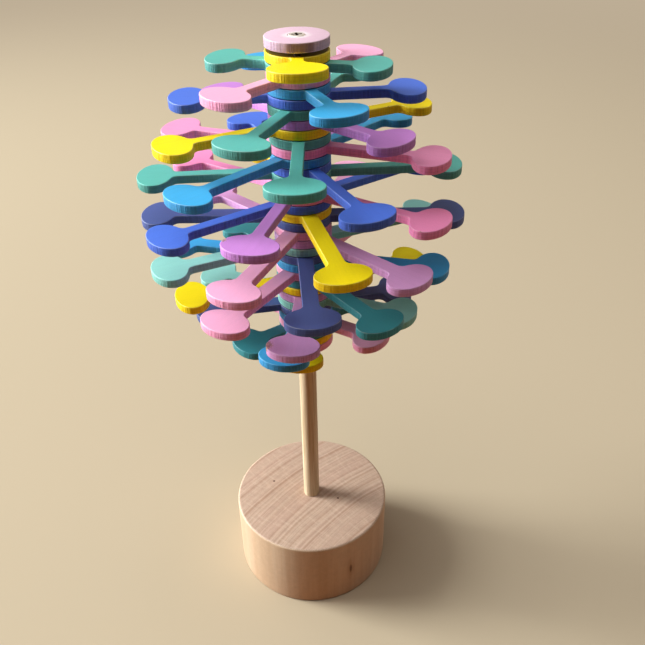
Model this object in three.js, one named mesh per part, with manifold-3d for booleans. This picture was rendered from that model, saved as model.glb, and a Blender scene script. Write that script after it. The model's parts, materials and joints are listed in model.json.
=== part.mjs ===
// A turning tower toy: a round wooden foot carries an upright dowel, and a stack of flat
// two-ended arms turns on it. A peg on each arm runs in an arc slot of the arm above, so
// neighbours can only turn a part of a circle against each other. Turned wide they stand
// like the scales of a fir cone, and turned narrow they close up into a twisted ribbon.
// Millimetres, +Z up. The origin is the centre of the foot's underside, -Y is the front.

import * as THREE from 'three';
import { mergeVertices } from 'three/addons/utils/BufferGeometryUtils.js';
import Module from 'manifold-3d';

const wasm = await Module();
wasm.setup();

// Foot
const BASE_DIAMETER = 60;
const BASE_HEIGHT = 30.9;
const BASE_EDGE = 1.1;
const SOCKET_DEPTH = 22;

// Dowel
const DOWEL_DIAMETER = 6.2;
const DOWEL_EDGE = 0.4;
const BARE_STEM = 76.8;

// Plywood that the arms, the foot disc and the cap are cut from
const PLY = 2.65;
const LAYER_GAP = 0.26;
const CAP_GAP = 1.1;
const HUB_DIAMETER = 18.3;

// Arms
const LONGEST_REACH = 45.6;
const PADDLE_WIDTH = 16.1;
const PADDLE_LENGTH = 10.9;
const UPPER_BAR_WIDTH = 3.45;
const LOWER_BAR_WIDTH = 4.85;
const LOWER_ARMS = 17;
const FILLET = 1.8;

// Pegs and the slots that they run in
const PEG_DIAMETER = 1.9;
const PEG_CIRCLE = 13.2;
const PEG_DEPTH_SHARE = 0.66;
const STOP_NARROW = 10;
const STOP_WIDE = 80;

// Screw that keeps the cap on the dowel
const SCREW_HEAD_DIAMETER = 5.4;
const SCREW_HEAD_DEPTH = 1.5;
const SCREW_PROUD = 0.15;
const SCREW_SHANK = 2.4;
const SCREW_LENGTH = 14;
const SCREW_TIP = 2.2;

// Clearances
const RUNNING_CLEARANCE = 0.3;
const PEG_CLEARANCE = 0.25;
const GLUE_GAP = 0.2;
const OVERRUN = 1;

// Facets on round pieces
const BASE_SIDES = 48;
const ROD_SIDES = 24;
const DISC_SIDES = 40;
const BORE_SIDES = 14;
const PEG_SIDES = 8;
const HUB_QUARTER_STEPS = 4;
const PADDLE_STEPS = 14;
const FILLET_STEPS = 2;
const SLOT_STEPS = 4;
const SLOT_END_STEPS = 4;

// The arms from the lowest to the highest: how far each one's paddles stand out between the
// hub and the longest reach, its paint, and by how many degrees it is turned back from the
// piece below it as the toy stands.
const REACH_SHARES = [
  0.111, 0.237, 0.354, 0.459, 0.537, 0.599, 0.665, 0.732, 0.781,
  0.859, 0.867, 0.899, 0.944, 0.931, 0.988, 0.984, 0.971, 0.999,
  0.946, 0.960, 0.939, 0.859, 0.893, 0.809, 0.783, 0.768, 0.607,
  0.648, 0.544, 0.426, 0.417, 0.216, 0.115,
];
const ARM_PAINTS = [
  'yellow', 'teal', 'pink', 'sky', 'indigo', 'mint', 'mauve',
  'yellow', 'teal', 'pink', 'sky', 'indigo', 'mint', 'mauve',
  'pink', 'indigo', 'yellow', 'royal', 'rose',
  'violet', 'sea_green', 'royal', 'sky', 'pink', 'sea_green', 'yellow',
  'violet', 'sea_green', 'royal', 'sky', 'pink', 'sea_green', 'yellow',
];
const ARM_TURNS = [
  67.8, 49, 66.2, 70.5, 67.1, 33.3, 71.8, 68.5, 70.7, 68.8, 70.3,
  72.5, 69.4, 69.6, 68.8, 67.4, 74.1, 70, 68.4, 73, 69.3, 68.3,
  69.9, 65.8, 71.1, 62.8, 68.3, 71.7, 61.3, 71.7, 65.1, 61.9, 74.8,
];
const FOOT_DISC_ANGLE = 149;
const CAP_TURN = 69;

const FINISHES = {
  yellow: { color: 0xf8e020, roughness: 0.5 },
  teal: { color: 0x4aa4a8, roughness: 0.5 },
  sea_green: { color: 0x74c0ba, roughness: 0.5 },
  mint: { color: 0xa0ded7, roughness: 0.5 },
  pink: { color: 0xf8bede, roughness: 0.5 },
  rose: { color: 0xf0a6cc, roughness: 0.5 },
  sky: { color: 0x56b6e6, roughness: 0.5 },
  royal: { color: 0x688ae4, roughness: 0.5 },
  indigo: { color: 0x6674b6, roughness: 0.5 },
  violet: { color: 0xce94de, roughness: 0.5 },
  mauve: { color: 0xdaa0d4, roughness: 0.5 },
  beech: { color: 0xe0c0a2, roughness: 0.6 },
  birch: { color: 0xe8d2aa, roughness: 0.6 },
  steel: { color: 0xb4b4b8, roughness: 0.35, metalness: 1 },
};

// Heights and radii that follow from the sizes above
const LAYER_PITCH = PLY + LAYER_GAP;
const DISC_HEIGHT = BASE_HEIGHT + BARE_STEM;
const STACK_TOP = DISC_HEIGHT + REACH_SHARES.length * LAYER_PITCH + PLY;
const CAP_HEIGHT = STACK_TOP + CAP_GAP;
const DOWEL_TOP = CAP_HEIGHT - RUNNING_CLEARANCE;
const DOWEL_FOOT = BASE_HEIGHT - SOCKET_DEPTH + GLUE_GAP;
const DOWEL_RADIUS = DOWEL_DIAMETER / 2;
const BORE_RADIUS = DOWEL_RADIUS + RUNNING_CLEARANCE;
const SEAT_RADIUS = DOWEL_RADIUS + GLUE_GAP;
const HUB_RADIUS = HUB_DIAMETER / 2;
const PEG_RADIUS = PEG_DIAMETER / 2;
const PEG_ARM = PEG_CIRCLE / 2;
const PEG_RISE = LAYER_GAP + PLY * PEG_DEPTH_SHARE;
const SHORTEST_REACH = HUB_RADIUS + PADDLE_LENGTH / 2;
const SHANK_RADIUS = SCREW_SHANK / 2;

const radians = THREE.MathUtils.degToRad;

function toSolid(geometry) {
  const bare = geometry.clone();
  bare.deleteAttribute('normal');
  bare.deleteAttribute('uv');
  const merged = mergeVertices(bare);
  return new wasm.Manifold(new wasm.Mesh({
    numProp: 3,
    vertProperties: new Float32Array(merged.attributes.position.array),
    triVerts: new Uint32Array(merged.index.array),
  }));
}

function toGeometry(solid) {
  const mesh = solid.getMesh();
  const geometry = new THREE.BufferGeometry();
  geometry.setAttribute('position', new THREE.BufferAttribute(mesh.vertProperties, mesh.numProp));
  geometry.setIndex(new THREE.BufferAttribute(mesh.triVerts, 1));
  geometry.computeVertexNormals();
  return geometry;
}

function makePiece(name, geometry, finish) {
  const material = new THREE.MeshStandardMaterial({ metalness: 0, ...FINISHES[finish] });
  const mesh = new THREE.Mesh(geometry, material);
  mesh.name = name;
  return mesh;
}

// A revolved solid: the profile lists radius and height from the axis round to the axis.
function revolve(profile, sides) {
  const points = profile.map(([radius, height]) => new THREE.Vector2(radius, height));
  return new THREE.LatheGeometry(points, sides).rotateX(Math.PI / 2);
}

function plate(outline, holes, thickness) {
  const shape = new THREE.Shape(outline);
  shape.holes = holes.map((points) => new THREE.Path(points));
  return new THREE.ExtrudeGeometry(shape, { depth: thickness, bevelEnabled: false, steps: 1 });
}

function arc(x, y, radiusX, radiusY, start, end, steps) {
  return new THREE.EllipseCurve(x, y, radiusX, radiusY, start, end, end < start).getPoints(steps);
}

function circle(radius, sides) {
  return arc(0, 0, radius, radius, 0, 2 * Math.PI, sides).slice(0, sides);
}

// The curved slot: the peg of the piece below stands on the far side of the axis from this
// piece's own peg, turned forward by somewhere between the narrow and the wide stop.
function slotOutline() {
  const halfWidth = PEG_RADIUS + PEG_CLEARANCE;
  const from = Math.PI + radians(STOP_NARROW);
  const to = Math.PI + radians(STOP_WIDE);
  const near = new THREE.Vector2(PEG_ARM * Math.cos(from), PEG_ARM * Math.sin(from));
  const far = new THREE.Vector2(PEG_ARM * Math.cos(to), PEG_ARM * Math.sin(to));
  const outer = PEG_ARM + halfWidth;
  const inner = PEG_ARM - halfWidth;
  return [
    ...arc(0, 0, outer, outer, from, to, SLOT_STEPS),
    ...arc(far.x, far.y, halfWidth, halfWidth, to, to + Math.PI, SLOT_END_STEPS).slice(1),
    ...arc(0, 0, inner, inner, to, from, SLOT_STEPS).slice(1),
    ...arc(near.x, near.y, halfWidth, halfWidth, from - Math.PI, from, SLOT_END_STEPS).slice(1, -1),
  ];
}

// Half of an arm's outline, anticlockwise from the hub's near side round its paddle.
function armHalf(reach, barWidth) {
  const halfBar = barWidth / 2;
  const halfWidth = PADDLE_WIDTH / 2;
  const halfLength = PADDLE_LENGTH / 2;
  const hubAngle = Math.asin(halfBar / HUB_RADIUS);
  const cornerAngle = Math.asin(halfBar / halfWidth);
  const hubEdge = HUB_RADIUS * Math.cos(hubAngle);
  const corner = reach - halfLength * Math.cos(cornerAngle);
  const fillet = Math.min(FILLET, (corner - hubEdge) / 2);
  const filletAngle = Math.PI - cornerAngle - fillet / halfWidth;
  const paddle = arc(reach, 0, halfLength, halfWidth, -filletAngle, filletAngle, PADDLE_STEPS);
  const inward = new THREE.QuadraticBezierCurve(
    paddle[paddle.length - 1],
    new THREE.Vector2(corner, halfBar),
    new THREE.Vector2(corner - fillet, halfBar),
  ).getPoints(FILLET_STEPS).slice(1);
  const outward = inward.map((point) => new THREE.Vector2(point.x, -point.y)).reverse();
  const quarter = Math.PI / 2;
  return [
    ...arc(0, 0, HUB_RADIUS, HUB_RADIUS, -quarter, -hubAngle, HUB_QUARTER_STEPS),
    ...outward,
    ...paddle,
    ...inward,
    ...arc(0, 0, HUB_RADIUS, HUB_RADIUS, hubAngle, quarter, HUB_QUARTER_STEPS).slice(0, -1),
  ];
}

function armOutline(reach, barWidth) {
  const half = armHalf(reach, barWidth);
  const opposite = half.map((point) => new THREE.Vector2(-point.x, -point.y));
  return [...half, ...opposite];
}

// A peg pressed through a plate, standing up on the piece's own +X side.
function withPeg(geometry) {
  const length = PLY + PEG_RISE;
  const peg = new THREE.CylinderGeometry(PEG_RADIUS, PEG_RADIUS, length, PEG_SIDES);
  peg.rotateX(Math.PI / 2).translate(PEG_ARM, 0, length / 2);
  return toGeometry(toSolid(geometry).add(toSolid(peg)));
}

function makeBase() {
  const radius = BASE_DIAMETER / 2;
  const floor = BASE_HEIGHT - SOCKET_DEPTH;
  const profile = [
    [0, 0],
    [radius - BASE_EDGE, 0],
    [radius, BASE_EDGE],
    [radius, BASE_HEIGHT - BASE_EDGE],
    [radius - BASE_EDGE, BASE_HEIGHT],
    [SEAT_RADIUS, BASE_HEIGHT],
    [SEAT_RADIUS, floor],
    [0, floor],
  ];
  return makePiece('base_block', revolve(profile, BASE_SIDES), 'beech');
}

function makeDowel() {
  const pilotRadius = SHANK_RADIUS + GLUE_GAP;
  const pilotFloor = CAP_HEIGHT + PLY + SCREW_PROUD - SCREW_LENGTH - GLUE_GAP;
  const profile = [
    [0, DOWEL_FOOT],
    [DOWEL_RADIUS - DOWEL_EDGE, DOWEL_FOOT],
    [DOWEL_RADIUS, DOWEL_FOOT + DOWEL_EDGE],
    [DOWEL_RADIUS, DOWEL_TOP - DOWEL_EDGE],
    [DOWEL_RADIUS - DOWEL_EDGE, DOWEL_TOP],
    [pilotRadius, DOWEL_TOP],
    [pilotRadius, pilotFloor],
    [0, pilotFloor],
  ];
  return makePiece('dowel', revolve(profile, ROD_SIDES), 'birch');
}

function makeFootDisc() {
  const disc = plate(circle(HUB_RADIUS, DISC_SIDES), [circle(SEAT_RADIUS, ROD_SIDES)], PLY);
  const piece = makePiece('foot_disc', withPeg(disc), 'pink');
  piece.position.z = DISC_HEIGHT;
  piece.rotation.z = radians(FOOT_DISC_ANGLE);
  return piece;
}

function makeArm(number) {
  const reach = THREE.MathUtils.lerp(SHORTEST_REACH, LONGEST_REACH, REACH_SHARES[number - 1]);
  const barWidth = number <= LOWER_ARMS ? LOWER_BAR_WIDTH : UPPER_BAR_WIDTH;
  const holes = [circle(BORE_RADIUS, BORE_SIDES), slotOutline()];
  const arm = withPeg(plate(armOutline(reach, barWidth), holes, PLY));
  const name = `arm_${String(number).padStart(2, '0')}`;
  const piece = makePiece(name, arm, ARM_PAINTS[number - 1]);
  piece.position.z = DISC_HEIGHT + number * LAYER_PITCH;
  return piece;
}

// The cap turns under the screw's head. The top arm's peg runs in a blind slot below it.
function makeCap() {
  const holeRadius = SHANK_RADIUS + RUNNING_CLEARANCE;
  const sinkRadius = SCREW_HEAD_DIAMETER / 2 + RUNNING_CLEARANCE;
  const sinkDepth = SCREW_HEAD_DEPTH - SCREW_PROUD + RUNNING_CLEARANCE;
  const profile = [
    [holeRadius, 0],
    [HUB_RADIUS, 0],
    [HUB_RADIUS, PLY],
    [sinkRadius, PLY],
    [holeRadius, PLY - sinkDepth],
    [holeRadius, 0],
  ];
  const slotDepth = PEG_RISE - CAP_GAP + RUNNING_CLEARANCE;
  const slot = plate(slotOutline(), [], OVERRUN + slotDepth).translate(0, 0, -OVERRUN);
  const solid = toSolid(revolve(profile, DISC_SIDES)).subtract(toSolid(slot));
  const piece = makePiece('cap', toGeometry(solid), 'pink');
  piece.position.z = CAP_HEIGHT;
  return piece;
}

function makeScrew() {
  const top = CAP_HEIGHT + PLY + SCREW_PROUD;
  const headRadius = SCREW_HEAD_DIAMETER / 2;
  const profile = [
    [0, top - SCREW_LENGTH],
    [SHANK_RADIUS, top - SCREW_LENGTH + SCREW_TIP],
    [SHANK_RADIUS, top - SCREW_HEAD_DEPTH],
    [headRadius, top - SCREW_PROUD],
    [headRadius, top],
    [0, top],
  ];
  return makePiece('cap_screw', revolve(profile, ROD_SIDES), 'steel');
}

// Each piece turns back from the one below it, seen from its own peg to the next one's.
function stackPieces() {
  const pieces = ARM_TURNS.map((turn, index) => makeArm(index + 1));
  pieces.push(makeCap());
  const turns = [...ARM_TURNS, CAP_TURN];
  let angle = radians(FOOT_DISC_ANGLE);
  pieces.forEach((piece, index) => {
    angle += Math.PI - radians(turns[index]);
    piece.rotation.z = angle;
  });
  return pieces;
}

const tower = new THREE.Group();
tower.add(makeBase(), makeDowel(), makeFootDisc(), ...stackPieces(), makeScrew());

export default tower;
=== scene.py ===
"""A tower of painted plywood arms that turn on a birch dowel, standing in a beech foot.

Every size is in metres, +Z is up, -Y is the front, and the foot's underside is at the origin.
"""

import json
import math

import bpy
import numpy as np
from mathutils import Matrix, Vector


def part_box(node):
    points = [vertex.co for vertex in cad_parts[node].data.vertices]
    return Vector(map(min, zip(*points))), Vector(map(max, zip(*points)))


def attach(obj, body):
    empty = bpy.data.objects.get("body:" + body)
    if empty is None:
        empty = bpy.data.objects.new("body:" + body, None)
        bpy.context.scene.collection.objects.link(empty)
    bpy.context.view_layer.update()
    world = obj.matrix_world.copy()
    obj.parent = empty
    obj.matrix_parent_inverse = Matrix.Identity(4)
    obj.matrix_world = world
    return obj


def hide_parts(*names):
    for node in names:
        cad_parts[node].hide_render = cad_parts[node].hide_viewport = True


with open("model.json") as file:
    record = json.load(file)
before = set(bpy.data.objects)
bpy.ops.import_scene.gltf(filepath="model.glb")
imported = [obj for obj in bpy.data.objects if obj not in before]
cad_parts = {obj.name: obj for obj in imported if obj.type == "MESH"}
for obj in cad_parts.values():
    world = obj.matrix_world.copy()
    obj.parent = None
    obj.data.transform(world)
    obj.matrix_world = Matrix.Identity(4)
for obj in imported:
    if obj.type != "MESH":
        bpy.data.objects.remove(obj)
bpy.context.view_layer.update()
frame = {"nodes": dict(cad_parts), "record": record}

MM = 0.001

# Camera that took the photograph
IMAGE_SIDE = 645
CAMERA_PLACE = (0.0, -212.575 * MM, 261.237 * MM)
CAMERA_YAW = 0.026536
CAMERA_PITCH = 0.604357
CAMERA_ROLL = -0.01813
CAMERA_FOCUS_PIXELS = 747.221
SENSOR_WIDTH = 36.0
CAMERA_NEAR = 10 * MM
CAMERA_FAR = 20.0

# Plywood plates
PLY = 2.65 * MM
HUB_RADIUS = 9.15 * MM
PADDLE_WIDTH = 16.1 * MM
PADDLE_LENGTH = 10.9 * MM
UPPER_BAR_WIDTH = 3.45 * MM
LOWER_BAR_WIDTH = 4.85 * MM
LOWER_ARMS = 17
NECK_FILLET = 1.8 * MM
PLATE_EDGE = 0.22 * MM
BORE_RADIUS = 3.4 * MM
PLATE_SIDES = 96

# Pegs, and the slots that they run in
PEG_RADIUS = 0.95 * MM
PEG_CIRCLE_RADIUS = 6.6 * MM
PEG_RISE = 2.01 * MM
PEG_EDGE = 0.15 * MM
PEG_FOOT_SHARE = 0.1
PEG_SIDES = 20
SLOT_HALF_WIDTH = 1.2 * MM
NARROW_STOP = math.radians(10)
WIDE_STOP = math.radians(80)

# Screw on top, with a cross for the driver
SCREW_HEAD_RADIUS = 2.5 * MM
SCREW_HEAD_DEPTH = 1.5 * MM
SCREW_SHANK_RADIUS = 1.2 * MM
SCREW_POINT_LENGTH = 2.2 * MM
SCREW_NECK_EDGE = 0.3 * MM
SCREW_RIM_DEPTH = 0.3 * MM
SCREW_RIM_EDGE = 0.1 * MM
SCREW_CROWN_INSET = 0.25 * MM
SCREW_CROWN_EDGE = 0.2 * MM
SCREW_SIDES = 48
CROSS_TURN = math.radians(8)
CROSS_HALF_WIDTH = 0.42 * MM
CROSS_REACH = 1.6 * MM
CROSS_DEPTH = 1.2 * MM
CROSS_TAPER_SHARE = 0.4
CROSS_OVERRUN = 0.2 * MM

# Hole in the cap, round the screw
CAP_HOLE_CLEARANCE = 0.3 * MM
COUNTERSINK_CLEARANCE = 0.12 * MM
COUNTERSINK_SPARE_DEPTH = 0.1 * MM

# Turned wood
BASE_EDGE = 1.1 * MM
BASE_SIDES = 128
SOCKET_CLEARANCE = 0.03 * MM
SOCKET_EDGE = 0.08 * MM
SOCKET_SPARE_DEPTH = 0.1 * MM
DOWEL_EDGE = 0.4 * MM
DOWEL_SIDES = 48
DISC_BORE_CLEARANCE = 0.1 * MM
SHARP_ANGLE = math.radians(40)

# Where on the painted sheet each plate was cut, so that no two have the same grain
SHEET_STEP = 3.1 * MM
SHEET_JUMP = 37
SHEET_PLACES = 101
DISC_SHEET_PLACE = (310 * MM, 120 * MM)
CAP_SHEET_PLACE = (110 * MM, 520 * MM)


# Node trees, written as sums


def srgb(red, green, blue):
    """A colour in 0 to 255, as Blender's linear RGBA."""
    shares = [v / 255 for v in (red, green, blue)]
    linear = [v / 12.92 if v <= 0.04045 else ((v + 0.055) / 1.055) ** 2.4 for v in shares]
    return (*linear, 1.0)


class Field:
    """The output of a node. Sums with it become Math nodes in the same tree."""

    def __init__(self, tree, socket):
        self.tree = tree
        self.socket = socket

    def math(self, operation, *others):
        node = put(self.tree, "ShaderNodeMath", [self, *others], operation=operation)
        return Field(self.tree, node.outputs[0])

    def __add__(self, other):
        return self.math("ADD", other)

    def __radd__(self, other):
        return self.math("ADD", other)

    def __sub__(self, other):
        return self.math("SUBTRACT", other)

    def __rsub__(self, other):
        return (-self).math("ADD", other)

    def __mul__(self, other):
        return self.math("MULTIPLY", other)

    def __truediv__(self, other):
        return self.math("DIVIDE", other)

    def __neg__(self):
        return self.math("MULTIPLY", -1.0)

    def __abs__(self):
        return self.math("ABSOLUTE")

    def smooth(self, low, high):
        """0 below low and 1 above high, with a smooth step between them."""
        inputs = {"Value": self, "From Min": low, "From Max": high}
        return out(self.tree, "ShaderNodeMapRange", inputs, interpolation_type="SMOOTHSTEP")

    def below(self, low, high):
        """1 below low and 0 above high, with a smooth step between them."""
        return 1.0 - self.smooth(low, high)


def put(tree, kind, inputs=None, **settings):
    """Adds a node with its settings, and fills its inputs, by place in a list or by name."""
    node = tree.nodes.new(kind)
    for name, value in settings.items():
        setattr(node, name, value)
    pairs = enumerate(inputs) if isinstance(inputs, list) else (inputs or {}).items()
    for key, value in pairs:
        socket = node.inputs[key]
        for single in value if isinstance(value, list) else [value]:
            source = single.socket if isinstance(single, Field) else single
            if isinstance(source, bpy.types.NodeSocket):
                tree.links.new(source, socket)
            else:
                socket.default_value = source
    return node


def out(tree, kind, inputs=None, output=0, **settings):
    """Adds a node and gives one of its outputs."""
    return Field(tree, put(tree, kind, inputs, **settings).outputs[output])


def vector(tree, x=0.0, y=0.0, z=0.0):
    return out(tree, "ShaderNodeCombineXYZ", [x, y, z])


def vector_math(tree, operation, *vectors):
    """A sum of vectors. Its result is a number for the distance and the length."""
    output = 1 if operation in ("DISTANCE", "LENGTH") else 0
    return out(tree, "ShaderNodeVectorMath", list(vectors), output, operation=operation)


def height_of(tree, place):
    return out(tree, "ShaderNodeSeparateXYZ", [place], output="Z")


def compare(tree, first, operation, second):
    inputs = [first, second]
    return out(tree, "FunctionNodeCompare", inputs, data_type="FLOAT", operation=operation)


# What finishes are made of

FLAT_SQUASH = (1.0, 1.0, 0.0)


def new_material(name):
    material = bpy.data.materials.new(name)
    material.use_nodes = True
    tree = material.node_tree
    tree.nodes.clear()
    shader = tree.nodes.new("ShaderNodeBsdfPrincipled")
    surface = tree.nodes.new("ShaderNodeOutputMaterial")
    tree.links.new(shader.outputs[0], surface.inputs["Surface"])
    return material, tree, shader


def object_place(tree):
    """Each point's place on the toy."""
    return out(tree, "ShaderNodeTexCoord", output="Object")


def distance_from_axis(tree):
    across = vector_math(tree, "MULTIPLY", object_place(tree), FLAT_SQUASH)
    return vector_math(tree, "LENGTH", across)


def sheet_place(tree):
    """Each point's place on the sheet that its plate was cut from."""
    settings = {"attribute_type": "GEOMETRY", "attribute_name": "own_place"}
    return out(tree, "ShaderNodeAttribute", output="Vector", **settings)


def flatness(tree):
    """1 where the surface faces up or down, and 0 where it is upright."""
    return abs(height_of(tree, out(tree, "ShaderNodeTexCoord", output="Normal")))


def noise(tree, place, scale, detail=3.0, roughness=0.55, stretch=None):
    """Noise from 0 to 1. The stretch is how much denser it is along each axis."""
    if stretch:
        place = out(tree, "ShaderNodeMapping", {"Vector": place, "Scale": stretch})
    inputs = {"Vector": place, "Scale": scale, "Detail": detail, "Roughness": roughness}
    return out(tree, "ShaderNodeTexNoise", inputs)


def mix(tree, share, first, second, blend="MIX"):
    """The first colour, with a share of the second one laid over it."""
    node = tree.nodes.new("ShaderNodeMix")
    node.data_type = "RGBA"
    node.blend_type = blend
    for key, value in ((0, share), (6, first), (7, second)):
        if isinstance(value, Field):
            tree.links.new(value.socket, node.inputs[key])
        else:
            node.inputs[key].default_value = value
    return Field(tree, node.outputs[2])


def shade(tree, colour, factor):
    """The colour times a grey factor that varies over the surface."""
    grey = out(tree, "ShaderNodeCombineColor", [factor, factor, factor])
    return mix(tree, 1.0, colour, grey, blend="MULTIPLY")


def dress(tree, shader, colour, roughness, relief, depth, strength=1.0, specular=0.5):
    """Gives the shader its colour, its roughness and a relief that is this deep."""
    tree.links.new(colour.socket, shader.inputs["Base Color"])
    tree.links.new(roughness.socket, shader.inputs["Roughness"])
    bumps = out(tree, "ShaderNodeBump", {"Strength": strength, "Distance": depth, "Height": relief})
    tree.links.new(bumps.socket, shader.inputs["Normal"])
    shader.inputs["Specular IOR Level"].default_value = specular


# Painted plywood

PAINTS = {
    "paint_yellow": srgb(254, 227, 8),
    "paint_teal": srgb(54, 141, 150),
    "paint_sea_green": srgb(92, 183, 174),
    "paint_mint": srgb(148, 214, 205),
    "paint_pink": srgb(248, 178, 214),
    "paint_rose": srgb(250, 148, 198),
    "paint_sky": srgb(60, 170, 230),
    "paint_royal": srgb(76, 116, 222),
    "paint_indigo": srgb(76, 93, 156),
    "paint_violet": srgb(202, 134, 214),
    "paint_mauve": srgb(224, 165, 222),
}
DEEPER_PINK = srgb(250, 158, 203)
CAP_PINK = srgb(227, 192, 213)

# How each paint darkens on the cut sides: partly paint soaked into the end grain, partly painted shade
# for the sides
PLAIN_SIDE_SOAK_AND_SHADE = (0.98, 0.95, 0.97, 1.0)
SIDE_SOAK_AND_SHADE = {
    "paint_yellow": (1.0, 0.88, 0.5, 1.0),
    "paint_pink": (1.0, 0.82, 0.86, 1.0),
    "paint_sea_green": (0.78, 0.7, 0.7, 1.0),
    "paint_mint": (0.78, 0.84, 0.84, 1.0),
    "paint_sky": (0.9, 0.78, 0.84, 1.0),
    "paint_royal": (0.78, 0.76, 0.82, 1.0),
    "paint_violet": (0.88, 0.9, 0.9, 1.0),
}
# The cap's side is darker still: soaked paint and painted shade
CAP_SIDE_SOAK_AND_SHADE = (0.74, 0.74, 0.76, 1.0)

# Each knock's place on the sheet and its size
KNOCKS = {
    "paint_mauve": ((97.6 * MM, 54.1 * MM, 2.2 * MM),),
    "paint_violet": ((344.2 * MM, 292.7 * MM, 1.3 * MM),),
}
KNOCK_RAGGEDNESS = 3.0 * MM

BARE_PLY = srgb(196, 150, 98)
BARE_PLY_DARK = srgb(120, 78, 42)
WORN_PAINT_AND_HIGHLIGHT = srgb(252, 246, 238)
# Painted shade for the hubs' flat faces in the stack's gaps, and the shares of the hub's radius where
# it starts and ends
HUB_GAP_SHADE = srgb(70, 50, 40)
HUB_GAP_SHADE_SHARES = (0.93, 0.99)
PAINT_RELIEF = 0.05 * MM
CUT_RELIEF = 0.1 * MM

# The cap's marks: paint rubbed pale round the screw, and painted shade on the front of its side
RUBBED_PAINT = srgb(240, 229, 235)
RUBBED_RADIUS = 4.9 * MM
RUBBED_INNER_SHARE = 0.55
RUBBED_RAGGEDNESS = 3 * MM
CAP_FRONT_SHADE = srgb(104, 70, 84)
CAP_SHADE_ON_RIM = (0.9 * MM, -9.1 * MM)
CAP_SHADE_INNER_RADIUS = 2.9 * MM
CAP_SHADE_OUTER_RADIUS = 4.7 * MM


def hub_gap_shade(tree, painted, flat):
    """Painted shade on the hub's flat faces, where they lie in the gaps between stacked plates."""
    inner, outer = [HUB_RADIUS * share for share in HUB_GAP_SHADE_SHARES]
    gap_shaded = distance_from_axis(tree).below(inner, outer) * flat.smooth(0.5, 0.9)
    return mix(tree, gap_shaded * 0.85, painted, HUB_GAP_SHADE)


def rubbed_and_shaded_cap(tree, painted, place, flat, side, cloud):
    """The cap's paint, rubbed pale round the screw, with painted shade on the front of its side."""
    shade_centre = [sheet + rim for sheet, rim in zip(CAP_SHEET_PLACE, CAP_SHADE_ON_RIM)]
    in_front_shade = vector_math(tree, "DISTANCE", place, (*shade_centre, PLY / 2))
    in_front_shade = in_front_shade.below(CAP_SHADE_INNER_RADIUS, CAP_SHADE_OUTER_RADIUS)
    # Painted shade on the front of the cap's side
    painted = mix(tree, in_front_shade * side * 0.72, painted, CAP_FRONT_SHADE)
    radius = distance_from_axis(tree) + (cloud - 0.5) * RUBBED_RAGGEDNESS
    rubbed = radius.below(RUBBED_RADIUS * RUBBED_INNER_SHARE, RUBBED_RADIUS)
    return mix(tree, rubbed * flat.smooth(0.5, 0.9) * 0.85, painted, RUBBED_PAINT)


def painted_ply(name, colour, side_soak_and_shade=PLAIN_SIDE_SOAK_AND_SHADE, streaks=0.16, chips=(), is_cap=False):
    """Satin paint brushed over sanded plywood: thin and worn pale on the rims, where the pale also
    serves as a painted highlight, and chipped here and there.

    The cut sides soak it up and darken, and part of that darkening is painted shade. They show the
    saw's marks and the two lines of glue. Chips are the places and sizes of knocks on the rim. Hubs
    get painted shade on their flat faces in the stack's gaps, and the cap has its own marks, one
    of them painted shade.
    """
    material, tree, shader = new_material(name)
    place = sheet_place(tree)
    flat = flatness(tree)
    side = flat.below(0.05, 0.3)
    rim = flat.smooth(0.1, 0.45) * flat.below(0.86, 0.985)

    cloud = noise(tree, place, 150.0, detail=4.0)
    grain = noise(tree, place, 70.0, detail=6.0, roughness=0.62, stretch=(1.0, 11.0, 11.0))
    saw_marks = noise(tree, place, 1700.0, stretch=(1.0, 1.0, 0.03)).smooth(0.34, 0.66)
    speckle = noise(tree, place, 2300.0, detail=2.0)
    patches = noise(tree, place, 210.0, detail=2.0)
    from_middle = abs(height_of(tree, place) / PLY - 0.5)
    glue_line = abs(from_middle - 1 / 6).below(0.0, 0.05) * side

    level = 0.81 + cloud * 0.08 + grain * 0.14 + speckle * 0.14
    level = level + (saw_marks - 0.5) * side * streaks - glue_line * 0.14
    painted = shade(tree, colour, level)
    # The cut sides darken: soaked paint, and painted shade
    painted = mix(tree, side, painted, side_soak_and_shade, blend="MULTIPLY")
    if is_cap:
        painted = rubbed_and_shaded_cap(tree, painted, place, flat, side, cloud)
    else:
        # Painted shade on the hub's faces in the stack's gaps
        painted = hub_gap_shade(tree, painted, flat)
    # Pale rims: worn paint, and a painted highlight along the edges
    worn_and_highlit = rim * patches.smooth(0.3, 0.7)
    painted = mix(tree, worn_and_highlit * 0.2, painted, WORN_PAINT_AND_HIGHLIGHT)

    bare = rim * patches.smooth(0.7, 0.74) * noise(tree, place, 700.0).smooth(0.45, 0.55)
    for x, y, size in chips:
        knock = vector_math(tree, "DISTANCE", place, (x, y, PLY))
        ragged = knock + (speckle - 0.5) * KNOCK_RAGGEDNESS
        bare = bare.math("MAXIMUM", ragged.below(size * 0.7, size) * (1.0 - flat * 0.35))
    wood = mix(tree, noise(tree, place, 1200.0).smooth(0.4, 0.6), BARE_PLY_DARK, BARE_PLY)
    finished = mix(tree, bare, painted, wood)

    roughness = 0.42 + cloud * 0.12 + side * 0.1 + bare * 0.2
    relief = grain * 0.8 + saw_marks * side * 2.8 - glue_line * 0.6 + speckle * 0.55 - bare * 0.8
    dress(tree, shader, finished, roughness, relief, PAINT_RELIEF, strength=0.7, specular=0.3)
    return material


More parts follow.
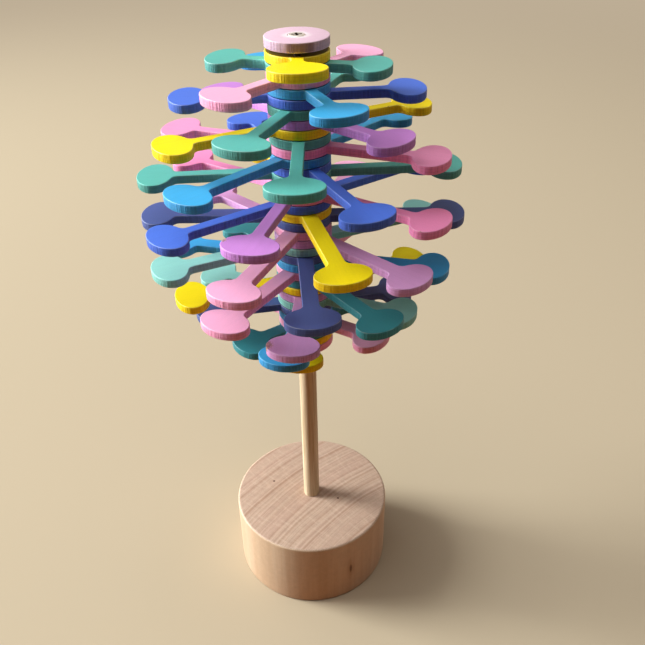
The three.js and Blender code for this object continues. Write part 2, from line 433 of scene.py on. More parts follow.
def cut_ply(name):
    """Bare plywood where it is bored and slotted: two pale plies and a darker one between."""
    material, tree, shader = new_material(name)
    place = sheet_place(tree)
    from_middle = abs(height_of(tree, place) - PLY / 2)
    fibres = noise(tree, place, 500.0, detail=4.0, stretch=(1.0, 1.0, 4.0))
    ply = mix(tree, from_middle.below(PLY * 0.14, PLY * 0.2) * 0.7, BARE_PLY, BARE_PLY_DARK)
    ply = shade(tree, ply, 0.8 + fibres * 0.4)
    dress(tree, shader, ply, 0.7 + fibres * 0.15, fibres, CUT_RELIEF)
    return material


paints = {
    slot: painted_ply(slot, colour, SIDE_SOAK_AND_SHADE.get(slot, PLAIN_SIDE_SOAK_AND_SHADE), chips=KNOCKS.get(slot, ()))
    for slot, colour in PAINTS.items()
}
deeper_paints = {"arm_24": painted_ply("deeper_pink", DEEPER_PINK, SIDE_SOAK_AND_SHADE["paint_pink"])}
raw_ply = cut_ply("cut_ply")


# Bare wood and steel

RING_CENTRE = (84 * MM, -92 * MM, 0.0)
RING_WAVER = 3.4 * MM
LINE_WAVER = 3.6 * MM
BAND_WAVER = 3.0 * MM
RAY_SPREAD = 125 * MM
BEECH_TOP_DARK = srgb(168, 138, 120)
BEECH_TOP_PALE = srgb(212, 188, 168)
BEECH_TOP_LINE = srgb(144, 106, 82)
BEECH_TOP_BAND = srgb(180, 147, 131)
BEECH_TOP_RAY = srgb(222, 204, 184)
BEECH_SIDE_DARK = srgb(212, 182, 152)
BEECH_SIDE_PALE = srgb(226, 204, 177)
BEECH_SIDE_STRIP = srgb(202, 170, 138)
BEECH_EDGE = srgb(240, 218, 196)
BEECH_FLECK = srgb(178, 130, 92)
BIRCH_DARK = srgb(190, 162, 124)
BIRCH_PALE = srgb(228, 208, 178)

# Where the foot's flaws lie, and how far from its middle each one starts and stops fading
KNOT = (14.39 * MM, -26.32 * MM, 15.0 * MM)
KNOT_SQUASH = (1.0, 1.0, 0.3)
KNOT_RAGGEDNESS = 1.2 * MM
KNOT_HALO = (0.4 * MM, 2.4 * MM)
KNOT_CORE = (0.3 * MM, 0.8 * MM)
KNOT_HALO_COLOUR = srgb(150, 96, 60)
KNOT_CORE_COLOUR = srgb(84, 50, 30)
PIN_HOLES = ((-15.5 * MM, 6.2 * MM, 30.9 * MM), (10.5 * MM, -4.4 * MM, 30.9 * MM))
PIN_HOLE = (0.25 * MM, 0.6 * MM)
PIN_HOLE_SHADE = srgb(84, 54, 40)

ZINC = srgb(225, 222, 222)
# The pegs' steel is dark, and darker still as painted shade for the gaps they stand in
DARK_STEEL_AND_SHADE = srgb(48, 40, 34)
RECESS_GRIME_AND_SHADE = srgb(58, 48, 46)
WOOD_RELIEF = 0.06 * MM
STEEL_RELIEF = 0.03 * MM


def beech_top(tree, place):
    """The foot's end grain: growth rings with fine lines, broad bands and rays across them."""
    warp = noise(tree, place, 28.0, detail=2.0, stretch=(1.0, 1.0, 0.15))
    from_centre = vector_math(tree, "SUBTRACT", place, RING_CENTRE)
    from_centre = vector_math(tree, "MULTIPLY", from_centre, FLAT_SQUASH)
    distance = vector_math(tree, "LENGTH", from_centre)
    x, y = put(tree, "ShaderNodeSeparateXYZ", [from_centre]).outputs[:2]
    bearing = out(tree, "ShaderNodeMath", [x, y], operation="ARCTAN2")

    ring_place = vector(tree, distance + warp * RING_WAVER)
    line_place = vector(tree, distance + warp * LINE_WAVER, 0.3)
    band_place = vector(tree, distance + warp * BAND_WAVER)
    ray_place = vector(tree, distance * 0.15, bearing * RAY_SPREAD)
    rings = noise(tree, ring_place, 820.0, roughness=0.65)
    lines = noise(tree, line_place, 430.0, detail=2.0)
    bands = noise(tree, band_place, 90.0, detail=2.0)
    rays = noise(tree, ray_place, 900.0, detail=2.0)

    top = mix(tree, rings.smooth(0.3, 0.7) * 0.6, BEECH_TOP_DARK, BEECH_TOP_PALE)
    top = mix(tree, lines.smooth(0.52, 0.68) * 0.65, top, BEECH_TOP_LINE)
    top = mix(tree, bands.smooth(0.35, 0.75) * 0.6, top, BEECH_TOP_BAND)
    top = mix(tree, rays.smooth(0.5, 0.7) * 0.12, top, BEECH_TOP_RAY)
    return top, rings


def beech_side(tree, place, fibres):
    """The foot's long grain: fine upright fibres in paler and darker strips."""
    strips = noise(tree, place, 130.0, detail=2.0, stretch=(1.0, 1.0, 0.05))
    side = mix(tree, fibres.smooth(0.3, 0.7) * 0.5, BEECH_SIDE_DARK, BEECH_SIDE_PALE)
    return mix(tree, strips.smooth(0.35, 0.7) * 0.6, side, BEECH_SIDE_STRIP)


def knot_and_pin_holes(tree, place, wood, fibres):
    beside = vector_math(tree, "SUBTRACT", place, KNOT)
    beside = vector_math(tree, "MULTIPLY", beside, KNOT_SQUASH)
    away = vector_math(tree, "LENGTH", beside) + (fibres - 0.5) * KNOT_RAGGEDNESS
    wood = mix(tree, away.below(*KNOT_HALO) * 0.35, wood, KNOT_HALO_COLOUR)
    wood = mix(tree, away.below(*KNOT_CORE) * 0.7, wood, KNOT_CORE_COLOUR)
    # Painted shade: dark spots for the pin holes, which are not cut into the foot
    for hole in PIN_HOLES:
        away = vector_math(tree, "DISTANCE", place, hole)
        wood = mix(tree, away.below(*PIN_HOLE), wood, PIN_HOLE_SHADE)
    return wood


def beech_foot():
    """Beech with its grain upright: growth rings cross the top, fine fibres run down the side."""
    material, tree, shader = new_material("beech_foot")
    place = object_place(tree)
    upward = flatness(tree)
    end_grain = upward.smooth(0.55, 0.9)
    edge = upward.smooth(0.1, 0.4) * upward.below(0.9, 0.995)
    fibres = noise(tree, place, 620.0, detail=4.0, stretch=(1.0, 1.0, 0.035))
    flecks = noise(tree, place, 1500.0, detail=2.0, stretch=(1.0, 1.0, 0.12))
    pores = noise(tree, place, 2300.0, detail=2.0, roughness=0.7)
    mottle = noise(tree, place, 420.0)

    top, rings = beech_top(tree, place)
    wood = mix(tree, end_grain, beech_side(tree, place, fibres), top)
    level = 0.73 + pores * (0.2 + end_grain * 0.2) + mottle * (0.18 + end_grain * 0.18)
    wood = shade(tree, wood, level)
    wood = mix(tree, edge * pores.smooth(0.4, 0.6) * 0.3, wood, BEECH_EDGE)
    wood = mix(tree, flecks.smooth(0.66, 0.76) * (1.0 - end_grain) * 0.2, wood, BEECH_FLECK)
    wood = knot_and_pin_holes(tree, place, wood, fibres)

    relief = fibres * (1.0 - end_grain) * 0.6 + rings * end_grain * 0.25 + pores * (0.3 + edge)
    roughness = 0.52 + fibres * 0.14
    dress(tree, shader, wood, roughness, relief, WOOD_RELIEF, strength=0.7, specular=0.35)
    return material


def birch_dowel():
    """Pale birch rod with long straight fibres."""
    material, tree, shader = new_material("birch_dowel")
    place = object_place(tree)
    fibres = noise(tree, place, 1500.0, detail=4.0, stretch=(1.0, 1.0, 0.03))
    cloud = noise(tree, place, 120.0, stretch=(1.0, 1.0, 0.3))
    wood = mix(tree, fibres.smooth(0.25, 0.75), BIRCH_DARK, BIRCH_PALE)
    wood = shade(tree, wood, 0.93 + cloud * 0.14)
    roughness = 0.5 + fibres * 0.12
    dress(tree, shader, wood, roughness, fibres, WOOD_RELIEF, strength=0.7, specular=0.35)
    return material


def dull_steel(name, colour, roughness):
    """Steel with a cloudy plated or dirty surface."""
    material, tree, shader = new_material(name)
    cloud = noise(tree, object_place(tree), 900.0, detail=4.0)
    metal = shade(tree, colour, 0.85 + cloud * 0.25)
    dress(tree, shader, metal, roughness + cloud * 0.15, cloud, STEEL_RELIEF, strength=0.5)
    shader.inputs["Metallic"].default_value = 1.0
    return material


screw_steel = dull_steel("zinc_steel", ZINC, 0.42)
peg_steel = dull_steel("peg_steel", DARK_STEEL_AND_SHADE, 0.55)


# The tree that makes the arms

MERGE_DISTANCE = 0.001 * MM


def geometry_tree(name, sizes):
    """A new Geometry Nodes tree with named inputs. Sizes maps each name to its first value."""
    tree = bpy.data.node_groups.new(name, "GeometryNodeTree")
    tree.is_modifier = True
    for label, value in sizes.items():
        kind = "NodeSocketMaterial" if value is None else "NodeSocketFloat"
        socket = tree.interface.new_socket(label, in_out="INPUT", socket_type=kind)
        if value is not None:
            socket.default_value = value
    tree.interface.new_socket("Geometry", in_out="OUTPUT", socket_type="NodeSocketGeometry")
    start = tree.nodes.new("NodeGroupInput")
    return tree, {label: Field(tree, start.outputs[label]) for label in sizes}


def add_to_scene(name, data):
    """A new object with this mesh, light or camera."""
    thing = bpy.data.objects.new(name, data)
    bpy.context.scene.collection.objects.link(thing)
    return thing


def apply_only_modifier(piece):
    """Makes the piece's one modifier part of its mesh."""
    graph = bpy.context.evaluated_depsgraph_get()
    finished = bpy.data.meshes.new_from_object(piece.evaluated_get(graph), depsgraph=graph)
    piece.modifiers.clear()
    piece.data = finished


def grow(tree, name, sizes):
    """Runs a tree once with these sizes and gives the result as a plain mesh object."""
    piece = add_to_scene(name, bpy.data.meshes.new(name))
    modifier = piece.modifiers.new("shape", "NODES")
    modifier.node_group = tree
    for item in tree.interface.items_tree:
        if item.in_out == "INPUT":
            modifier[item.identifier] = sizes[item.name]
    apply_only_modifier(piece)
    return piece


def transform(tree, geometry, **inputs):
    labels = {key.capitalize(): value for key, value in inputs.items()}
    return out(tree, "GeometryNodeTransform", {"Geometry": geometry, **labels})


def join(tree, *parts):
    return out(tree, "GeometryNodeJoinGeometry", {"Geometry": list(reversed(parts))})


def arc(tree, radius, start, sweep, steps):
    inputs = {"Resolution": steps, "Radius": radius, "Start Angle": start, "Sweep Angle": sweep}
    return out(tree, "GeometryNodeCurveArc", inputs, mode="RADIUS")


def line(tree, start, end):
    return out(tree, "GeometryNodeCurvePrimitiveLine", {"Start": start, "End": end})


def swept(tree, curve, profile):
    """A sheet along a curve, with the profile upright all the way."""
    curve = out(tree, "GeometryNodeSetCurveNormal", {"Curve": curve}, mode="Z_UP")
    return out(tree, "GeometryNodeCurveToMesh", {"Curve": curve, "Profile Curve": profile})


def weld(tree, geometry):
    inputs = {"Geometry": geometry, "Distance": MERGE_DISTANCE}
    return out(tree, "GeometryNodeMergeByDistance", inputs)


def closed_curve(tree, parts):
    """Joins open curves end to end into one closed curve that runs anticlockwise."""
    edges = out(tree, "GeometryNodeCurveToMesh", {"Curve": join(tree, *parts)})
    loop = out(tree, "GeometryNodeMeshToCurve", {"Mesh": weld(tree, edges)})
    place = out(tree, "GeometryNodeInputPosition")
    along = out(tree, "GeometryNodeInputTangent")
    turning = height_of(tree, vector_math(tree, "CROSS_PRODUCT", place, along))
    total = out(
        tree, "GeometryNodeAttributeStatistic", {"Geometry": loop, "Attribute": turning},
        output="Sum", data_type="FLOAT", domain="POINT",
    )
    clockwise = compare(tree, total, "LESS_THAN", 0.0)
    return out(tree, "GeometryNodeReverseCurve", {"Curve": loop, "Selection": clockwise})


ARM_SIZES = {
    "Reach": 40 * MM,
    "Bar Width": UPPER_BAR_WIDTH,
    "Hub Radius": HUB_RADIUS,
    "Paddle Width": PADDLE_WIDTH,
    "Paddle Length": PADDLE_LENGTH,
    "Neck Fillet": NECK_FILLET,
    "Ply": PLY,
    "Edge Radius": PLATE_EDGE,
    "Bore Radius": BORE_RADIUS,
    "Peg Circle": PEG_CIRCLE_RADIUS,
    "Slot Half Width": SLOT_HALF_WIDTH,
    "Narrow Stop": NARROW_STOP,
    "Wide Stop": WIDE_STOP,
    "Underside": 0.0,
    "Turn": 0.0,
    "Grain Offset": 0.0,
    "Paint": None,
    "Cut Wood": None,
}
HUB_STEPS = 14
FILLET_STEPS = 7
PADDLE_STEPS = 26
BORE_STEPS = 40
SLOT_STEPS = 24
SLOT_END_STEPS = 8
EDGE_STEPS = 3
EDGE_FILLET_SHARE = 0.98
FLAT_LIMIT = 0.99


def arm_outline(tree, size):
    """The arm seen from above: a quarter, from the hub's crown to a paddle's tip, mirrored twice."""
    hub, reach = size["Hub Radius"], size["Reach"]
    half_bar = size["Bar Width"] / 2
    half_width = size["Paddle Width"] / 2
    half_length = size["Paddle Length"] / 2
    hub_angle = (half_bar / hub).math("ARCSINE")
    corner_angle = (half_bar / half_width).math("ARCSINE")
    hub_edge = hub * hub_angle.math("COSINE")
    corner = reach - half_length * corner_angle.math("COSINE")
    fillet = size["Neck Fillet"].math("MINIMUM", (corner - hub_edge) / 2)
    paddle_angle = math.pi - corner_angle - fillet / half_width
    neck_x = reach + half_length * paddle_angle.math("COSINE")
    neck_y = half_width * paddle_angle.math("SINE")

    crown = arc(tree, hub, math.pi / 2, hub_angle - math.pi / 2, HUB_STEPS)
    bar_end = vector(tree, corner - fillet, half_bar)
    bar = line(tree, vector(tree, hub_edge, half_bar), bar_end)
    neck = out(
        tree, "GeometryNodeCurveQuadraticBezier",
        {
            "Resolution": FILLET_STEPS,
            "Start": bar_end,
            "Middle": vector(tree, corner, half_bar),
            "End": vector(tree, neck_x, neck_y),
        },
    )
    paddle = transform(
        tree, arc(tree, 1.0, paddle_angle, -paddle_angle, PADDLE_STEPS),
        translation=vector(tree, reach), scale=vector(tree, half_length, half_width, 1.0),
    )
    quarter = join(tree, crown, bar, neck, paddle)
    half = join(tree, quarter, transform(tree, quarter, scale=(1.0, -1.0, 1.0)))
    mirrored = transform(tree, half, scale=(-1.0, 1.0, 1.0))
    return closed_curve(tree, [half, mirrored])


def arm_rim(tree, size, outline):
    """The arm's side, swept round its outline with rounded edges above and below."""
    edge, ply = size["Edge Radius"], size["Ply"]
    corners = out(
        tree, "GeometryNodeCurvePrimitiveQuadrilateral",
        {
            "Point 1": vector(tree, -edge, 0.0),
            "Point 2": vector(tree, 0.0, 0.0),
            "Point 3": vector(tree, 0.0, -ply),
            "Point 4": vector(tree, -edge, -ply),
        },
        mode="POINTS",
    )
    opened = out(tree, "GeometryNodeSetSplineCyclic", {"Geometry": corners, "Cyclic": False})
    profile = out(
        tree, "GeometryNodeFilletCurve",
        {
            "Curve": opened,
            "Radius": edge * EDGE_FILLET_SHARE,
            "Count": EDGE_STEPS,
            "Limit Radius": True,
        },
        mode="POLY",
    )
    return out(tree, "GeometryNodeFlipFaces", {"Mesh": swept(tree, outline, profile)})


def arm_holes(tree, size):
    """The outlines of the bore and of the arc slot, which lies across from the arm's own peg."""
    bore = out(
        tree, "GeometryNodeCurvePrimitiveCircle",
        {"Resolution": BORE_STEPS, "Radius": size["Bore Radius"]}, mode="RADIUS",
    )
    peg_circle, half_slot = size["Peg Circle"], size["Slot Half Width"]
    start = size["Narrow Stop"] + math.pi
    sweep = size["Wide Stop"] - size["Narrow Stop"]
    end = start + sweep
    slot_parts = [
        arc(tree, peg_circle + half_slot, start, sweep, SLOT_STEPS),
        arc(tree, peg_circle - half_slot, start, sweep, SLOT_STEPS),
    ]
    for angle, turn in ((end, 0.0), (start, math.pi)):
        slot_end = arc(tree, half_slot, angle + turn, math.pi, SLOT_END_STEPS)
        x, y = peg_circle * angle.math("COSINE"), peg_circle * angle.math("SINE")
        slot_parts.append(transform(tree, slot_end, translation=vector(tree, x, y)))
    return join(tree, bore, closed_curve(tree, slot_parts))


def arm_faces(tree, size, rim, holes):
    """The arm's flat faces, filled between the rim's upper border and the holes."""
    faces_beside = out(tree, "GeometryNodeInputMeshEdgeNeighbors")
    on_border = compare(tree, faces_beside, "LESS_EQUAL", 1.0)
    height = height_of(tree, out(tree, "GeometryNodeInputPosition"))
    above = compare(tree, height, "GREATER_THAN", size["Ply"] / 2)
    top_border = out(tree, "FunctionNodeBooleanMath", [on_border, above], operation="AND")
    border = out(tree, "GeometryNodeMeshToCurve", {"Mesh": rim, "Selection": top_border})
    outlines = join(tree, border, holes)
    sheet = out(tree, "GeometryNodeFillCurve", {"Curve": outlines}, mode="TRIANGLES")
    top = transform(tree, sheet, translation=vector(tree, 0.0, 0.0, size["Ply"]))
    return join(tree, top, out(tree, "GeometryNodeFlipFaces", {"Mesh": sheet}))


def arm_tree():
    """A two-ended arm: hub, two bars, two paddles, rounded rims, a bore and an arc slot."""
    tree, size = geometry_tree("turning_arm", ARM_SIZES)
    rim = arm_rim(tree, size, arm_outline(tree, size))
    holes = arm_holes(tree, size)
    coat = join(tree, rim, arm_faces(tree, size, rim, holes))
    coat = out(tree, "GeometryNodeSetMaterial", {"Geometry": coat, "Material": size["Paint"]})
    walls = swept(tree, holes, line(tree, vector(tree), vector(tree, 0.0, -size["Ply"])))
    walls = out(tree, "GeometryNodeSetMaterial", {"Geometry": walls, "Material": size["Cut Wood"]})
    plate = weld(tree, join(tree, coat, walls))

    # The place on the sheet is kept for the grain
    offset = vector(tree, size["Grain Offset"], size["Grain Offset"])
    place = vector_math(tree, "ADD", out(tree, "GeometryNodeInputPosition"), offset)
    plate = out(
        tree, "GeometryNodeStoreNamedAttribute",
        {"Geometry": plate, "Name": "own_place", "Value": place},
        data_type="FLOAT_VECTOR", domain="POINT",
    )
    facing = height_of(tree, out(tree, "GeometryNodeInputNormal"))
    curved = compare(tree, abs(facing), "LESS_THAN", FLAT_LIMIT)
    plate = out(tree, "GeometryNodeSetShadeSmooth", {"Geometry": plate, "Shade Smooth": curved})
    placed = transform(
        tree, plate, translation=vector(tree, 0.0, 0.0, size["Underside"]),
        rotation=vector(tree, 0.0, 0.0, size["Turn"]),
    )
    whole = out(tree, "GeometryNodeRealizeInstances", {"Geometry": placed})
    tree.links.new(whole.socket, tree.nodes.new("NodeGroupOutput").inputs[0])
    return tree


# Turned pieces


def rounded(corners, steps=4):
    """A profile whose corners are rounded. Each corner is radius, height and rounding."""
    profile = []
    for index, (x, z, rounding) in enumerate(corners):
        here = Vector((x, z))
        if not rounding:
            profile.append(here)
            continue
        before = (Vector(corners[index - 1][:2]) - here).normalized() * rounding
        after = (Vector(corners[index + 1][:2]) - here).normalized() * rounding
        for step in range(steps + 1):
            t = step / steps
            profile.append(here + before * (1 - t) ** 2 + after * t**2)
    return profile


def mesh_piece(name, points, faces, material):
    mesh = bpy.data.meshes.new(name)
    mesh.from_pydata(points, [], faces)
    mesh.materials.append(material)
    return add_to_scene(name, mesh)


def turned(name, profile, sides, material, place=(0.0, 0.0)):
    """A piece turned on a lathe. Its profile starts and ends on the axis, or closes on itself."""
    points, rings = [], []
    for radius, height in profile:
        if radius == 0:
            rings.append([len(points)])
            points.append((place[0], place[1], height))
            continue
        rings.append(list(range(len(points), len(points) + sides)))
        for k in range(sides):
            angle = 2 * math.pi * k / sides
            x, y = place[0] + radius * math.cos(angle), place[1] + radius * math.sin(angle)
            points.append((x, y, height))
    pairs = list(zip(rings, rings[1:]))
    if len(rings[0]) > 1:
        pairs.append((rings[-1], rings[0]))
    faces = []
    for lower, upper in pairs:
        for k in range(sides):
            a, b = lower[k % len(lower)], lower[(k + 1) % len(lower)]
            c, d = upper[(k + 1) % len(upper)], upper[k % len(upper)]
            face = list(dict.fromkeys([a, b, c, d]))
            if len(face) > 2:
                faces.append(face)
    piece = mesh_piece(name, points, faces, material)
    piece.data.shade_smooth()
    piece.data.set_sharp_from_angle(angle=SHARP_ANGLE)
    return piece


def remember_place(piece, x, y, z):
    """Keeps each point's place, shifted onto the sheet, for a finish that follows the piece."""
    mesh = piece.data
    places = np.array([v.co for v in mesh.vertices], np.float32) + np.array((x, y, z), np.float32)
    attribute = mesh.attributes.new("own_place", "FLOAT_VECTOR", "POINT")
    attribute.data.foreach_set("vector", places.ravel())


def fit(piece, body, slot, *nodes):
    """Hands a finished piece to the body that it moves with, for the CAD solids it stands for."""
    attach(piece, body)
    if nodes:
        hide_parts(*nodes)


# The pieces


def corner_points(node):
    return np.array([v.co for v in frame["nodes"][node].data.vertices])


def peg_angle(points, plate_top):
    """Where a piece's peg stands, seen from the axis: it is all that rises past the plate."""
    peg = {tuple(round(v, 6) for v in p) for p in points if p[2] > plate_top + PEG_EDGE}
    centre = np.mean([p[:2] for p in peg], axis=0)
    return math.atan2(centre[1], centre[0])


def make_peg(name, body, angle, floor):
    """A round peg, pressed into a plate and standing up from it into the next plate's slot."""
    place = (PEG_CIRCLE_RADIUS * math.cos(angle), PEG_CIRCLE_RADIUS * math.sin(angle))
    foot = floor + PLY * PEG_FOOT_SHARE
    top = floor + PLY + PEG_RISE
    corners = [(0, foot, 0), (PEG_RADIUS, foot, PEG_EDGE), (PEG_RADIUS, top, PEG_EDGE), (0, top, 0)]
    peg = turned(name, rounded(corners, steps=2), PEG_SIDES, peg_steel, place)
    fit(peg, body, "screw_steel")


def make_arms():
    tree = arm_tree()
    slots = {part["node"]: part["material_slot"] for part in frame["record"]["subparts"]}
    for index, name in enumerate(sorted(n for n in frame["nodes"] if n.startswith("arm_"))):
        points = corner_points(name)
        floor = points[:, 2].min()
        turn = peg_angle(points, floor + PLY)
        tip = np.hypot(points[:, 0], points[:, 1]).max()
        piece = grow(
            tree, name + "_plate",
            {
                **ARM_SIZES,
                "Reach": float(tip) - PADDLE_LENGTH / 2,
                "Bar Width": LOWER_BAR_WIDTH if index < LOWER_ARMS else UPPER_BAR_WIDTH,
                "Underside": float(floor),
                "Turn": turn,
                "Grain Offset": (index * SHEET_JUMP % SHEET_PLACES) * SHEET_STEP,
                "Paint": deeper_paints.get(name, paints[slots[name]]),
                "Cut Wood": raw_ply,
            },
        )
        fit(piece, name, slots[name], name)
        make_peg(f"peg_{index + 1:02d}", name, turn, floor)


def make_foot(socket_floor, dowel_radius):
    _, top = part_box("base_block")
    socket = dowel_radius + SOCKET_CLEARANCE
    corners = [
        (0, 0, 0),
        (top.x, 0, BASE_EDGE),
        (top.x, top.z, BASE_EDGE),
        (socket, top.z, SOCKET_EDGE),
        (socket, socket_floor, 0),
        (0, socket_floor, 0),
    ]
    foot = turned("foot_block", rounded(corners, steps=5), BASE_SIDES, beech_foot())
    fit(foot, "stand", "beech", "base_block")


def make_foot_disc(dowel_radius):
    points = corner_points("foot_disc")
    low = float(points[:, 2].min())
    bore = dowel_radius + DISC_BORE_CLEARANCE
    corners = [
        (bore, low, 0),
        (HUB_RADIUS, low, PLATE_EDGE),
        (HUB_RADIUS, low + PLY, PLATE_EDGE),
        (bore, low + PLY, 0),
    ]
    disc = turned("foot_disc_plate", rounded(corners, steps=3), PLATE_SIDES, paints["paint_pink"])
    remember_place(disc, *DISC_SHEET_PLACE, -low)
    fit(disc, "stand", "paint_pink", "foot_disc")
    make_peg("peg_00", "stand", peg_angle(points, low + PLY), low)


def make_stand():
    low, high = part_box("dowel")
    radius = high.x
    make_foot(low.z - SOCKET_SPARE_DEPTH, radius)
    corners = [(0, low.z, 0), (radius, low.z, DOWEL_EDGE), (radius, high.z, DOWEL_EDGE), (0, high.z, 0)]
    rod = turned("birch_rod", rounded(corners), DOWEL_SIDES, birch_dowel())
    fit(rod, "stand", "birch", "dowel")
    make_foot_disc(radius)


def cut_cross(screw, top):
    """Sinks the driver's cross into the screw's head: four tapered arms that meet in a pit."""
    half, reach = CROSS_HALF_WIDTH, CROSS_REACH
    outline = []
    for quarter in range(4):
        turn = Matrix.Rotation(CROSS_TURN + quarter * math.pi / 2, 2)
        outline += [turn @ Vector(corner) for corner in ((reach, -half), (reach, half), (half, half))]
    count = len(outline)
    points = [(x, y, top + CROSS_OVERRUN) for x, y in outline]
    points += [(*(corner * CROSS_TAPER_SHARE), top - CROSS_DEPTH) for corner in outline]
    faces = [list(range(count)), list(range(2 * count - 1, count - 1, -1))]
    for k in range(count):
        after = (k + 1) % count
        faces.append([k, k + count, after + count, after])
    # The cross's walls take a dark finish: grime, and painted shade for the recess
    recess_dark = dull_steel("recess_grime_and_shade", RECESS_GRIME_AND_SHADE, 0.6)
    driver = mesh_piece("driver_cross", points, faces, recess_dark)
    cut = screw.modifiers.new("cross", "BOOLEAN")
    cut.operation, cut.solver, cut.object = "DIFFERENCE", "EXACT", driver
    cut.material_mode = "TRANSFER"
    apply_only_modifier(screw)
    bpy.data.objects.remove(driver)
    screw.data.set_sharp_from_angle(angle=SHARP_ANGLE)


def make_cap():
    low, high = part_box("cap")
    hole = SCREW_SHANK_RADIUS + CAP_HOLE_CLEARANCE
    sink = SCREW_HEAD_RADIUS + COUNTERSINK_CLEARANCE
    corners = [
        (hole, low.z, 0),
        (HUB_RADIUS, low.z, PLATE_EDGE),
        (HUB_RADIUS, high.z, PLATE_EDGE),
        (sink, high.z, 0),
        (hole, high.z - SCREW_HEAD_DEPTH - COUNTERSINK_SPARE_DEPTH, 0),
    ]
    paint = painted_ply("cap_paint", CAP_PINK, CAP_SIDE_SOAK_AND_SHADE, streaks=0.24, is_cap=True)
    cap = turned("cap_plate", rounded(corners, steps=3), PLATE_SIDES, paint)
    remember_place(cap, *CAP_SHEET_PLACE, -low.z)
    fit(cap, "cap", "paint_pink", "cap")


def make_screw():
    low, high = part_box("cap_screw")
    top = high.z
    corners = [
        (0, low.z, 0),
        (SCREW_SHANK_RADIUS, low.z + SCREW_POINT_LENGTH, 0),
        (SCREW_SHANK_RADIUS, top - SCREW_HEAD_DEPTH, SCREW_NECK_EDGE),
        (SCREW_HEAD_RADIUS, top - SCREW_RIM_DEPTH, SCREW_RIM_EDGE),
        (SCREW_HEAD_RADIUS - SCREW_CROWN_INSET, top, SCREW_CROWN_EDGE),
        (0, top, 0),
    ]
    screw = turned("cap_screw_head", rounded(corners), SCREW_SIDES, screw_steel)
    cut_cross(screw, top)
    fit(screw, "stand", "screw_steel", "cap_screw")


# Floor, light and camera

FLOOR_HALF = 6.0
PALE_BACKDROP = srgb(190, 174, 150)
WARM_BOUNCE_NEAR = srgb(156, 99, 53)
WARM_BOUNCE_FAR = srgb(108, 86, 64)
NO_BOUNCE = (0.0, 0.0, 0.0, 1.0)
BOUNCE_CHANGE = (0.15, 0.5)
GLOW_RISE = (0.4, 1.3)
ROOM_LEVEL = 0.04
LIT_CENTRE = Vector((0, 0, 120 * MM))

# Where each lamp hangs as seen from the toy: degrees round from the front to the toy's left,
# degrees up and metres away. Then come its width and length, its watts and its colour.
LAMPS = {
    "low_window_light": (104, 11, 3.0, (1.0, 1.2), 138.0, (0.95, 1.0, 0.97)),
    "high_window_light": (102, 34, 3.0, (1.3, 1.3), 80.0, (0.96, 1.0, 0.98)),
    "ceiling_light": (105, 69, 1.5, (1.6, 1.6), 11.0, (1.0, 0.98, 0.96)),
    "front_ceiling_light": (10, 74, 1.5, (1.6, 1.6), 5.5, (1.0, 0.94, 0.87)),
    "room_light": (255, 20, 2.5, (1.6, 1.6), 11.0, (1.0, 0.88, 0.8)),
}


def seen_or_mirrored(tree):
    """1 for what the camera sees, straight or in a gloss, and 0 for light that bounces."""
    ray = tree.nodes.new("ShaderNodeLightPath").outputs
    kinds = [Field(tree, ray[f"Is {kind} Ray"]) for kind in ("Camera", "Glossy", "Transmission")]
    return kinds[0].math("MAXIMUM", kinds[1]).math("MAXIMUM", kinds[2])


def make_floor():
    """A plain pale floor. It bounces warm light, and glows evenly far off, past the lamps."""
    material, tree, shader = new_material("floor_plain")
    seen = seen_or_mirrored(tree)
    away = vector_math(tree, "LENGTH", object_place(tree))
    far = away.smooth(*GLOW_RISE)
    bounce = mix(tree, away.smooth(*BOUNCE_CHANGE), WARM_BOUNCE_NEAR, WARM_BOUNCE_FAR)
    colour = mix(tree, seen, bounce, mix(tree, far, PALE_BACKDROP, NO_BOUNCE))
    tree.links.new(colour.socket, shader.inputs["Base Color"])
    tree.links.new((seen * far).socket, shader.inputs["Emission Strength"])
    shader.inputs["Emission Color"].default_value = PALE_BACKDROP
    shader.inputs["Roughness"].default_value = 0.8
    shader.inputs["Specular IOR Level"].default_value = 0.0
    corners = [(x * FLOOR_HALF, y * FLOOR_HALF, 0) for x, y in ((-1, -1), (1, -1), (1, 1), (-1, 1))]
    mesh_piece("floor", corners, [(0, 1, 2, 3)], material)


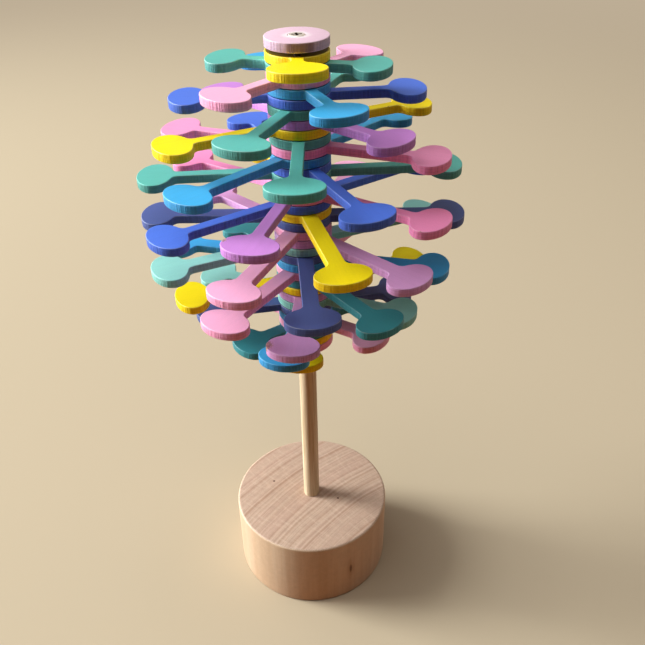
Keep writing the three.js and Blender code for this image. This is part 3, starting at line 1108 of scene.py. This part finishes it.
def make_world():
    world = bpy.data.worlds.new("studio")
    bpy.context.scene.world = world
    world.use_nodes = True
    tree = world.node_tree
    background = tree.nodes["Background"]
    background.inputs["Color"].default_value = PALE_BACKDROP
    level = ROOM_LEVEL + seen_or_mirrored(tree) * (1 - ROOM_LEVEL)
    tree.links.new(level.socket, background.inputs["Strength"])


def hang_lamp(name, bearing, height, distance, size, watts, colour):
    """A lamp that faces the toy."""
    bearing, height = math.radians(bearing), math.radians(height)
    left, front = math.sin(bearing) * math.cos(height), math.cos(bearing) * math.cos(height)
    direction = Vector((-left, -front, math.sin(height)))
    light = bpy.data.lights.new(name, "AREA")
    light.shape = "RECTANGLE"
    light.size, light.size_y = size
    light.energy = watts
    light.color = colour
    lamp = add_to_scene(name, light)
    lamp.location = LIT_CENTRE + direction * distance
    lamp.rotation_mode = "QUATERNION"
    lamp.rotation_quaternion = direction.to_track_quat("Z", "Y")


def make_camera():
    yaw, pitch, roll = CAMERA_YAW, CAMERA_PITCH, CAMERA_ROLL
    ahead = Vector((math.sin(yaw), math.cos(yaw), 0))
    forward = ahead * math.cos(pitch) - Vector((0, 0, math.sin(pitch)))
    level = Vector((math.cos(yaw), -math.sin(yaw), 0))
    upward = level.cross(forward)
    right = level * math.cos(roll) + upward * math.sin(roll)
    up = upward * math.cos(roll) - level * math.sin(roll)
    lens = bpy.data.cameras.new("camera")
    lens.sensor_width = SENSOR_WIDTH
    lens.lens = CAMERA_FOCUS_PIXELS * SENSOR_WIDTH / IMAGE_SIDE
    lens.clip_start, lens.clip_end = CAMERA_NEAR, CAMERA_FAR
    camera = add_to_scene("camera", lens)
    turn = Matrix((right, up, -forward)).transposed().to_4x4()
    camera.matrix_world = Matrix.Translation(CAMERA_PLACE) @ turn
    bpy.context.scene.camera = camera


make_camera()
make_floor()
make_world()
for lamp_name, values in LAMPS.items():
    hang_lamp(lamp_name, *values)
make_stand()
make_arms()
make_cap()
make_screw()

bpy.context.scene.view_settings.view_transform = "Standard"
